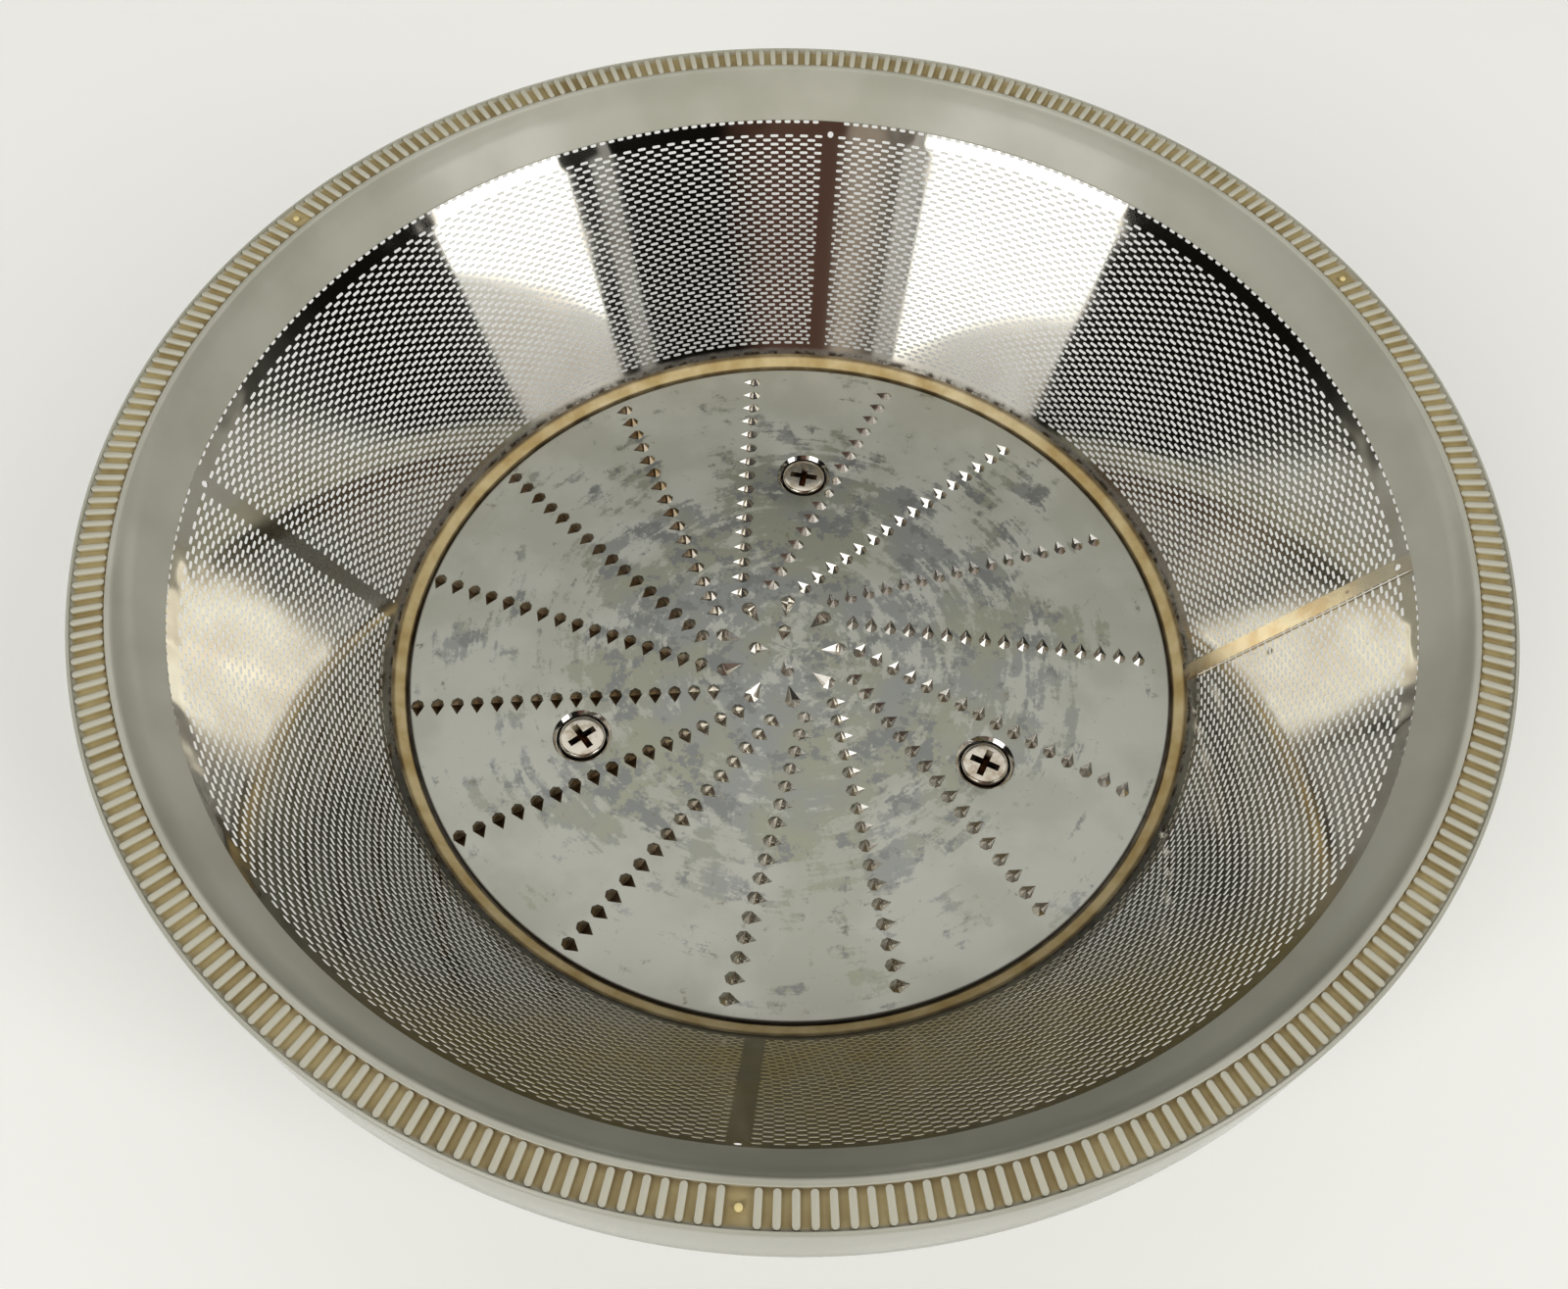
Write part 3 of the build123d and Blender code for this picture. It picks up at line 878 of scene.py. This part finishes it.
def strainerSteel():
    # etched stainless sheet, rolled bright: a near mirror of the room, turned gold by heat along the
    # spot-welded lap, with dried juice in a line by the base and an olive film on the near side
    material, add, place = newMaterial("polishedStainless")
    split = add("SeparateXYZ", {0: place}).node.outputs
    cloud = add("TexNoise", {"Vector": place, "Scale": perMm(7), "Detail": 6.0})
    cloud = add("MapRange", {0: cloud, 1: 0.3, 2: 0.75}, **soft)
    color = add("Mix", {0: cloud, 6: "#CBC8BC", 7: "#BDB6A8"}, **blend)
    # painted shade: the lower wall on the near side is darkened, standing in for its dark reflection
    paintedShade = add("VectorMath", {0: place, 1: strainer["shadeWay"]}, 1, operation="DOT_PRODUCT")
    paintedShade = add("MapRange", {0: paintedShade, 1: 0.0, 2: 10.0 * mm, 3: 0.0, 4: 0.8}, **soft)
    color = add("Mix", {0: paintedShade, 6: color, 7: "#6E6C66"}, **blend)

    # heat tint on the lap: gold with redder patches, grey again towards the rim
    slope = math.tan(math.radians(strainer["stripPhase"]))
    across = add("Math", {0: split["X"], 1: -slope, 2: split["Y"]}, **timesPlus)
    across = add("Math", {0: across}, operation="ABSOLUTE")
    lap = add("MapRange", {0: across, 1: 1.0 * mm, 2: 1.2 * mm, 3: 0.85, 4: 0.0}, **soft)
    fade = add("MapRange", {0: split["X"], 1: 66.0 * mm, 2: 68.5 * mm, 3: 1.0, 4: 0.25}, **soft)
    lap = add("Math", {0: lap, 1: fade}, **times)
    right = add("Math", {0: split["X"], 1: 0.0}, operation="GREATER_THAN")
    lap = add("Math", {0: lap, 1: right}, **times)
    blotch = add("TexNoise", {"Vector": place, "Scale": perMm(2.4), "Detail": 4.0})
    blotch = add("MapRange", {0: blotch, 1: 0.42, 2: 0.66}, **soft)
    tint = add("Mix", {0: blotch, 6: "#FFF0CC", 7: "#F2D6A6"}, **blend)
    color = add("Mix", {0: lap, 6: color, 7: tint}, **blend)

    # spot welds on the lap and flecks of dried juice beside it
    for angle, along, size, stain in strainer["marks"]:
        spot = conePoint(angle, along, 0.0)
        away = add("VectorMath", {0: place, 1: spot}, 1, operation="DISTANCE")
        mark = add("MapRange", {0: away, 1: 0.5 * size * mm, 2: size * mm, 3: 0.85, 4: 0.0}, **soft)
        color = add("Mix", {0: mark, 6: color, 7: stain}, **blend)

    # a thin broken line of residue by the base
    foot = footSlope.y * mm
    line = add("MapRange", {0: split["Z"], 1: foot + 0.2 * mm, 2: foot + 1.0 * mm, **fall}, **soft)
    broken = add("TexNoise", {"Vector": place, "Scale": perMm(1.5), "Detail": 5.0, "Roughness": 0.65})
    broken = add("MapRange", {0: broken, 1: 0.4, 2: 0.6, 3: 0.4, 4: 1.0}, **soft)
    line = add("Math", {0: line, 1: broken}, **times)
    # the olive film, thin where no slots hold it
    near = add("VectorMath", {0: place, 1: strainer["filmWay"]}, 1, operation="DOT_PRODUCT")
    near = add("MapRange", {0: near, 1: 44 * mm, 2: 57 * mm}, **soft)
    grime = add("TexNoise", {"Vector": place, "Scale": perMm(5), "Detail": 7.0, "Roughness": 0.65})
    grime = add("MapRange", {0: grime, 1: 0.35, 2: 0.65, 3: 0.62, 4: 0.86}, **soft)
    film = add("Math", {0: near, 1: grime}, **times)
    color = add("Mix", {0: film, 6: color, 7: "#82733E"}, **blend)
    color = add("Mix", {0: line, 6: color, 7: "#33291A"}, **blend)
    film = add("Math", {0: film, 1: line}, operation="MAXIMUM")
    rough = add("MapRange", {0: cloud, 3: 0.05, 4: 0.1})
    rough = add("Math", {0: film, 1: 0.2, 2: rough}, **timesPlus)
    rough = add("Math", {0: lap, 1: 0.1, 2: rough}, **timesPlus)
    metallic = add("MapRange", {0: film, 3: 1.0, 4: 0.5})
    # the plain edge is crinkled where it was pressed into the rim
    head = headSlope.y * mm
    edge = add("MapRange", {0: split["Z"], 1: head - 2.6 * mm, 2: head - 1.0 * mm}, **soft)
    crinkle = add("TexNoise", {"Vector": place, "Scale": perMm(4), "Detail": 0.0})
    crinkle = add("Math", {0: crinkle, 1: 0.5}, operation="SUBTRACT")
    crinkle = add("Math", {0: crinkle, 1: edge}, **times)
    crinkle = add("Bump", {"Height": crinkle, "Distance": 0.5 * mm, "Strength": 0.16})
    return finishMaterial(material, {"Base Color": color, "Roughness": rough, "Metallic": metallic,
                                     "Normal": crinkle})


def discSteel():
    # pressed stainless plate under a pale dried film that is rubbed thin in short arcs round the middle;
    # the teeth and dimples are bare steel, with brown juice left on the teeth of the -X side
    material, add, place = newMaterial("satinStainless")
    top = basket["discTop"] * mm
    split, flat, radius = roundPlace(add, place)
    # a place that changes slowly round the disc and quickly outwards draws the pattern into arcs
    way = add("VectorMath", {0: flat}, operation="NORMALIZE")
    way = add("VectorMath", {0: way, 3: 4.0 * mm}, operation="SCALE")
    outwards = add("CombineXYZ", {2: radius})
    arcs = add("VectorMath", {0: way, 1: outwards}, operation="ADD")
    strokes = add("TexNoise", {"Vector": arcs, "Scale": perMm(1.2), "Detail": 6.0, "Roughness": 0.62})
    patches = add("TexNoise", {"Vector": place, "Scale": perMm(8), "Detail": 9.0, "Roughness": 0.72})
    rubbed = add("Math", {0: strokes, 1: 0.45, 2: patches}, **timesPlus)
    kept = add("MapRange", {0: radius, 1: 22 * mm, 2: 48 * mm, 3: -0.05, 4: 0.13}, **soft)
    rubbed = add("Math", {0: rubbed, 1: kept}, operation="SUBTRACT")
    worn = add("MapRange", {0: rubbed, 1: 0.67, 2: 0.75}, **soft)
    cloud = add("TexNoise", {"Vector": place, "Scale": perMm(12), "Detail": 5.0})
    cloud = add("MapRange", {0: cloud, 1: 0.4, 2: 0.6}, **soft)
    film = add("Mix", {0: cloud, 6: "#C5C6BB", 7: "#BABBAE"}, **blend)
    thin = add("Mix", {0: cloud, 6: "#9C9E99", 7: "#A3A492"}, **blend)
    color = add("Mix", {0: worn, 6: film, 7: thin}, **blend)
    blotch = add("TexNoise", {"Vector": place, "Scale": perMm(5), "Detail": 8.0, "Roughness": 0.7})
    blotch = add("MapRange", {0: blotch, 1: 0.53, 2: 0.57}, **soft)
    blotch = add("Math", {0: blotch, 1: worn}, **times)
    color = add("Mix", {0: blotch, 6: color, 7: "#8B8D89"}, **blend)
    speck = add("TexNoise", {"Vector": place, "Scale": perMm(2), "Detail": 6.0, "Roughness": 0.7})
    speck = add("MapRange", {0: speck, 1: 0.62, 2: 0.7, 3: 0.0, 4: 0.5}, **soft)
    color = add("Mix", {0: speck, 6: color, 7: "#7A7058"}, **blend)

    # teeth: what stands above the plate or dips below it, away from the dimples
    lifted = add("Math", {0: split["Z"], 1: top}, operation="SUBTRACT")
    lifted = add("Math", {0: lifted}, operation="ABSOLUTE")
    tooth = add("MapRange", {0: lifted, 1: 0.01 * mm, 2: 0.06 * mm}, **soft)
    dimple = None
    for spot in screwSpots:
        away = add("VectorMath", {0: flat, 1: spot * mm}, 1, operation="DISTANCE")
        dimple = add("Math", {0: away, 1: dimple}, operation="MINIMUM") if dimple else away
    edge = grater["dimpleRadius"] * mm
    dimple = add("MapRange", {0: dimple, 1: edge - 0.1 * mm, 2: edge + 0.1 * mm, **fall}, **soft)
    soil = add("TexNoise", {"Vector": place, "Scale": perMm(3), "Detail": 3.0})
    soil = add("MapRange", {0: soil, 1: 0.3, 2: 0.7, 3: -0.15, 4: 0.15})
    left = add("MapRange", {0: split["X"], 1: -20 * mm, 2: -5 * mm, 3: 0.85, 4: 0.1}, **soft)
    soil = add("Math", {0: soil, 1: left}, operation="ADD", use_clamp=True)
    clean = add("Math", {0: 1.0, 1: dimple}, operation="SUBTRACT")
    soil = add("Math", {0: soil, 1: clean}, **times)
    bare = add("Mix", {0: soil, 6: "#E6E3DA", 7: "#7E6845"}, **blend)
    color = add("Mix", {0: tooth, 6: color, 7: bare}, **blend)
    # painted shade down in the dimples' recesses, and dark residue round the plate's edge
    deep = add("MapRange", {0: split["Z"], 1: top - 1.2 * mm, 2: top - 0.6 * mm, 3: 0.9, 4: 0.0}, **soft)
    rimLine = basket["discRadius"] * mm
    rimLine = add("MapRange", {0: radius, 1: rimLine - 0.35 * mm, 2: rimLine - 0.1 * mm, 4: 0.9}, **soft)
    shadeAndResidue = add("Math", {0: deep, 1: rimLine}, operation="MAXIMUM")
    color = add("Mix", {0: shadeAndResidue, 6: color, 7: "#2C2317"}, **blend)
    metallic = add("MapRange", {0: worn, 3: 0.88, 4: 0.97})
    metallic = add("Math", {0: metallic, 1: tooth}, operation="MAXIMUM")
    metallic = add("Math", {0: metallic, 1: shadeAndResidue}, operation="SUBTRACT", use_clamp=True)
    rough = add("MapRange", {0: worn, 3: 0.38, 4: 0.32})
    bareRough = add("MapRange", {0: soil, 3: 0.2, 4: 0.32})
    bareRough = add("Math", {0: dimple, 1: -0.1, 2: bareRough}, **timesPlus)
    rough = add("Mix", {0: tooth, 2: rough, 3: bareRough})
    return finishMaterial(material, {"Base Color": color, "Roughness": rough, "Metallic": metallic})


def rimPlastic():
    # injection-moulded grey ABS, glossy from its polished mould, with juice stain left between the ribs
    material, add, place = newMaterial("greyAbs")
    split, _, radius = roundPlace(add, place)
    top = basket["height"] * mm
    outer = (basket["rimRadius"] - rim["outerBand"]) * mm
    inner = outer - rim["trackWidth"] * mm
    mottle = add("TexNoise", {"Vector": place, "Scale": perMm(14), "Detail": 4.0})
    mottle = add("MapRange", {0: mottle, 1: 0.35, 2: 0.7}, **soft)
    color = add("Mix", {0: mottle, 6: "#B4B3A4", 7: "#A8A797"}, **blend)
    # the skirt is a little darker than the parts above it
    skirt = add("MapRange", {0: radius, 1: outer + 0.1 * mm, 2: outer + 0.4 * mm}, **soft)
    color = add("Mix", {0: skirt, 6: color, 7: "#A2A192"}, **blend)
    # the track is stained up the sides of its ribs, darkest at their inner ends
    start = add("MapRange", {0: radius, 1: inner - 0.15 * mm, 2: inner + 0.1 * mm}, **soft)
    end = add("MapRange", {0: radius, 1: outer - 0.5 * mm, 2: outer + 0.1 * mm, **fall}, **soft)
    track = add("Math", {0: start, 1: end}, **times)
    low = add("MapRange", {0: split["Z"], 1: top - 0.3 * mm, 2: top - 0.06 * mm, **fall}, **soft)
    color = add("Mix", {0: track, 6: color, 7: "#BFBCA9"}, **blend)
    patchy = add("TexNoise", {"Vector": place, "Scale": perMm(5), "Detail": 5.0})
    patchy = add("MapRange", {0: patchy, 1: 0.35, 2: 0.68}, **soft)
    stain = add("Mix", {0: patchy, 6: "#A99A6E", 7: "#8F7E52"}, **blend)
    fringe = add("MapRange", {0: radius, 1: inner + 0.1 * mm, 2: inner + 0.9 * mm, 3: 0.6, 4: 0.0}, **soft)
    stain = add("Mix", {0: fringe, 6: stain, 7: "#6C5A36"}, **blend)
    low = add("Math", {0: low, 1: track}, **times)
    color = add("Mix", {0: low, 6: color, 7: stain}, **blend)
    # gate nubs, gone yellow
    for k in range(rim["nubs"]):
        nubAt = polar((inner + outer) / 2, rim["firstNub"] + k * 360.0 / rim["nubs"], top)
        away = add("VectorMath", {0: place, 1: nubAt}, 1, operation="DISTANCE")
        nub = add("MapRange", {0: away, 1: 0.42 * mm, 2: 0.5 * mm, **fall}, **soft)
        color = add("Mix", {0: nub, 6: color, 7: "#E6D394"}, **blend)
    rough = add("MapRange", {0: mottle, 3: 0.16, 4: 0.24})
    rough = add("Math", {0: low, 1: 0.3, 2: rough}, **timesPlus)
    return finishMaterial(material, {"Base Color": color, "Roughness": rough, "IOR": 1.52})


def basePlastic():
    # the same ABS in a paler grade: its rim round the disc is tan with juice, dark in the joints
    material, add, place = newMaterial("stainedAbs")
    split, _, radius = roundPlace(add, place)
    mottle = add("TexNoise", {"Vector": place, "Scale": perMm(4), "Detail": 5.0})
    mottle = add("MapRange", {0: mottle, 1: 0.3, 2: 0.72}, **soft)
    tan = add("Mix", {0: mottle, 6: "#CCBA8C", 7: "#A88E56"}, **blend)
    grey = add("Mix", {0: mottle, 6: "#BBB7A6", 7: "#AEA996"}, **blend)
    ring = add("MapRange", {0: split["Z"], 1: 9.0 * mm, 2: 11.6 * mm}, **soft)
    color = add("Mix", {0: ring, 6: grey, 7: tan}, **blend)
    inner = (basket["discRadius"] + base["ringGap"]) * mm
    outer = footSlope.x * mm
    innerLine = add("MapRange", {0: radius, 1: inner + 0.02 * mm, 2: inner + 0.2 * mm, **fall}, **soft)
    outerLine = add("MapRange", {0: radius, 1: outer - 0.6 * mm, 2: outer - 0.2 * mm}, **soft)
    lines = add("Math", {0: innerLine, 1: outerLine}, operation="MAXIMUM")
    lines = add("Math", {0: lines, 1: ring}, **times)
    uneven = add("MapRange", {0: mottle, 3: 0.65, 4: 0.95})
    lines = add("Math", {0: lines, 1: uneven}, **times)
    color = add("Mix", {0: lines, 6: color, 7: "#3C2D19"}, **blend)
    rough = add("MapRange", {0: mottle, 3: 0.3, 4: 0.5})
    return finishMaterial(material, {"Base Color": color, "Roughness": rough, "IOR": 1.52})


def screwNickel():
    # nickel-plated steel, formed and polished, with rust down in the recess
    material, add, place = newMaterial("nickelPlate")
    height = add("SeparateXYZ", {0: place}, "Z")
    top = basket["discTop"] - screwShape["headBelow"]
    deep = add("MapRange", {0: height, 1: (top - 0.9) * mm, 2: (top - 0.25) * mm, **fall}, **soft)
    dull = add("TexNoise", {"Vector": place, "Scale": perMm(1.6), "Detail": 4.0})
    dull = add("MapRange", {0: dull, 1: 0.4, 2: 0.7}, **soft)
    plate = add("Mix", {0: dull, 6: "#D2CBBD", 7: "#B4A68F"}, **blend)
    rust = add("Mix", {0: dull, 6: "#2A180C", 7: "#5A3416"}, **blend)
    color = add("Mix", {0: deep, 6: plate, 7: rust}, **blend)
    rough = add("MapRange", {0: dull, 3: 0.16, 4: 0.3})
    rough = add("Math", {0: deep, 1: 0.4, 2: rough}, **timesPlus)
    return finishMaterial(material, {"Base Color": color, "Roughness": rough, "Metallic": 1.0})


def turnedMetal(name, light, dark, ringGap):
    # lathe-turned metal: rings left by the tool, drawn coarser than real so that they show
    material, add, place = newMaterial(name)
    waveStep = math.tau / 20  # what one band of a wave of scale 1 measures
    scale = perMm(ringGap) * waveStep
    rings = add("TexWave", {"Vector": place, "Scale": scale, "Distortion": 0.6, "Detail": 2.0},
                bands_direction="Z")
    color = add("Mix", {0: rings, 6: light, 7: dark}, **blend)
    rough = add("MapRange", {0: rings, 3: 0.24, 4: 0.36})
    return finishMaterial(material, {"Base Color": color, "Roughness": rough, "Metallic": 1.0})


def dress(piece, material):
    piece.data.materials.clear()
    piece.data.materials.append(material)


steel = strainerSteel()
for panel in panels:
    dress(panel, steel)
dress(graterDisc, discSteel())
dress(rimRing, rimPlastic())
dress(baseCarrier, basePlastic())
nickel = screwNickel()
for piece in screws:
    dress(piece, nickel)
brass = turnedMetal("turnedBrass", "#CDA95E", "#B8914A", 3.77)
for n in (1, 2, 3):
    dress(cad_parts[f"thread_insert_{n}"], brass)
dress(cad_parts["drive_bush"], turnedMetal("turnedSteel", "#BDBBB6", "#A9A7A2", 3.14))
print("materials:", len(bpy.data.materials))

# Pieces ride on the one body
rideList = [(rimRing, "rim_ring", "rim_plastic"), (graterDisc, "grater_disc", "disc_steel"),
            (baseCarrier, "base_carrier", "base_plastic")]
rideList += [(p, "strainer_cone", "strainer_steel") for p in panels]
rideList += [(p, f"screw_{n}", "screw_steel") for n, p in enumerate(screws, start=1)]
for piece, node, slotName in rideList:
    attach(piece, "root")
    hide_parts(node)

# Floor, light and camera

studio = {
    "floorSize": 6.0,
    "floorColor": "#E2E2DD",
    "floorGlow": 0.25,      # lifts the floor to a pale background where the camera or metal sees it
    "lens": 32.45,
    "cameraAt": (3.661, -100.792, 174.606),
    "cameraTurn": (32.0821, -0.787, 3.8407),
    # the room's tones, and the X, Y or Z of a look's direction over which one turns into the next
    "wallColor": "#ABABA5",
    "wallTop": (0.16, 0.21),
    "darkSide": "#161412",
    "middle": "#624A42",
    "middleEdge": (0.12, 0.3),
    "paleMiddle": "#B6ABA2",
    "paleEdge": (-0.11, -0.05),
    "backSide": "#5C5C58",
    "backEdge": (0.02, 0.45),
    "windowReach": 1.5,
    # name, azimuth, half width, lowest and highest elevation (degrees, seen from the object), radiance,
    # and whether metal mirrors it; the fills light the plastic through the same windows
    "windows": (("leftWindow", 231.0, 18.0, 23.5, 54.0, 2.9, True),
                ("leftFill", 231.0, 18.0, 23.5, 54.0, 4.3, False),
                ("leftSill", 231.0, 18.0, 8.0, 23.5, 0.85, True),
                ("leftFrame", 252.0, 2.2, 8.0, 50.0, 0.5, True),
                ("rightWindow", 329.0, 12.5, 23.5, 53.0, 3.1, True),
                ("rightFill", 329.0, 12.5, 23.5, 53.0, 6.0, False),
                ("rightSill", 329.0, 12.5, 8.0, 23.5, 0.85, True),
                ("rightFrame", 310.0, 2.0, 8.0, 50.0, 0.4, True)),
    "overheadAt": (0.0, 0.56, 1.5),
    "overheadSize": (2.8, 0.85),
    "overheadRadiance": 0.92,
}


def makeStudio():
    clearSelection()
    bpy.ops.mesh.primitive_plane_add(size=studio["floorSize"])
    floor = bpy.context.object
    floor.name = "paleFloor"
    # pale matt card, which reads a little brighter than the light alone makes it
    material, add, _ = newMaterial("matteWhiteCard")
    glow = add("Math", {0: shownRays(add), 1: studio["floorGlow"]}, **times)
    card = studio["floorColor"]
    finishMaterial(material, {"Base Color": card, "Roughness": 0.6, "Emission Color": card,
                              "Emission Strength": glow})
    dress(floor, material)
    # a dim room: dark on the camera's side with a brown middle, paler behind the object
    world = bpy.data.worlds.new("softRoom")
    bpy.context.scene.world = world
    world.use_nodes = True
    tree = world.node_tree
    add = partial(addNode, tree)
    look = add("TexCoord", out="Generated")
    split = add("SeparateXYZ", {0: look}).node.outputs
    across = add("Math", {0: split["X"]}, operation="ABSOLUTE")
    ramps = {}
    for name, along, ends in (("middleEdge", across, fall), ("paleEdge", split["X"], {}),
                              ("backEdge", split["Y"], {}), ("wallTop", split["Z"], fall)):
        start, end = studio[name]
        ramps[name] = add("MapRange", {0: along, 1: start, 2: end, **ends}, **soft)
    wall = add("Mix", {0: ramps["paleEdge"], 6: studio["paleMiddle"], 7: studio["middle"]}, **blend)
    front = add("Mix", {0: ramps["middleEdge"], 6: studio["darkSide"], 7: wall}, **blend)
    room = add("Mix", {0: ramps["backEdge"], 6: front, 7: studio["backSide"]}, **blend)
    # past the floor a low light grey wall, seen by the camera and in the metal alike
    low = add("Math", {0: shownRays(add), 1: ramps["wallTop"]}, **times)
    room = add("Mix", {0: low, 6: room, 7: studio["wallColor"]}, **blend)
    tree.links.new(room, tree.nodes["Background"].inputs["Color"])
    # two tall windows behind the camera, each with a dimmer pane below, and a soft light overhead
    for name, azimuth, halfWidth, lowest, highest, radiance, mirrored in studio["windows"]:
        reach = studio["windowReach"]
        low, high = (reach * math.tan(math.radians(e)) for e in (lowest, highest))
        lamp = softLight(name, 2 * reach * math.tan(math.radians(halfWidth)), high - low, radiance)
        lamp.location = polar(reach, azimuth, (low + high) / 2)
        lamp.visible_glossy = mirrored
        lamp.rotation_euler = (math.radians(90), 0, math.radians(azimuth + 90))
    lamp = softLight("overhead", *studio["overheadSize"], studio["overheadRadiance"])
    lamp.location = studio["overheadAt"]
    lamp.rotation_euler = Vector(studio["overheadAt"]).to_track_quat("Z", "Y").to_euler()
    camera = bpy.data.cameras.new("photoCamera")
    camera.lens = studio["lens"]
    camera.sensor_width = 36.0
    camera.sensor_fit = "HORIZONTAL"
    camera.clip_start = 0.005
    holder = bpy.data.objects.new("photoCamera", camera)
    bpy.context.scene.collection.objects.link(holder)
    holder.location = Vector(studio["cameraAt"]) * mm
    holder.rotation_euler = [math.radians(t) for t in studio["cameraTurn"]]
    bpy.context.scene.camera = holder
    bpy.context.scene.view_settings.view_transform = "Standard"


def softLight(name, width, height, radiance):
    light = bpy.data.lights.new(name, "AREA")
    light.shape = "RECTANGLE"
    light.size = width
    light.size_y = height
    light.energy = radiance * math.pi * width * height
    lamp = bpy.data.objects.new(name, light)
    bpy.context.scene.collection.objects.link(lamp)
    return lamp


makeStudio()
print("studio ready")
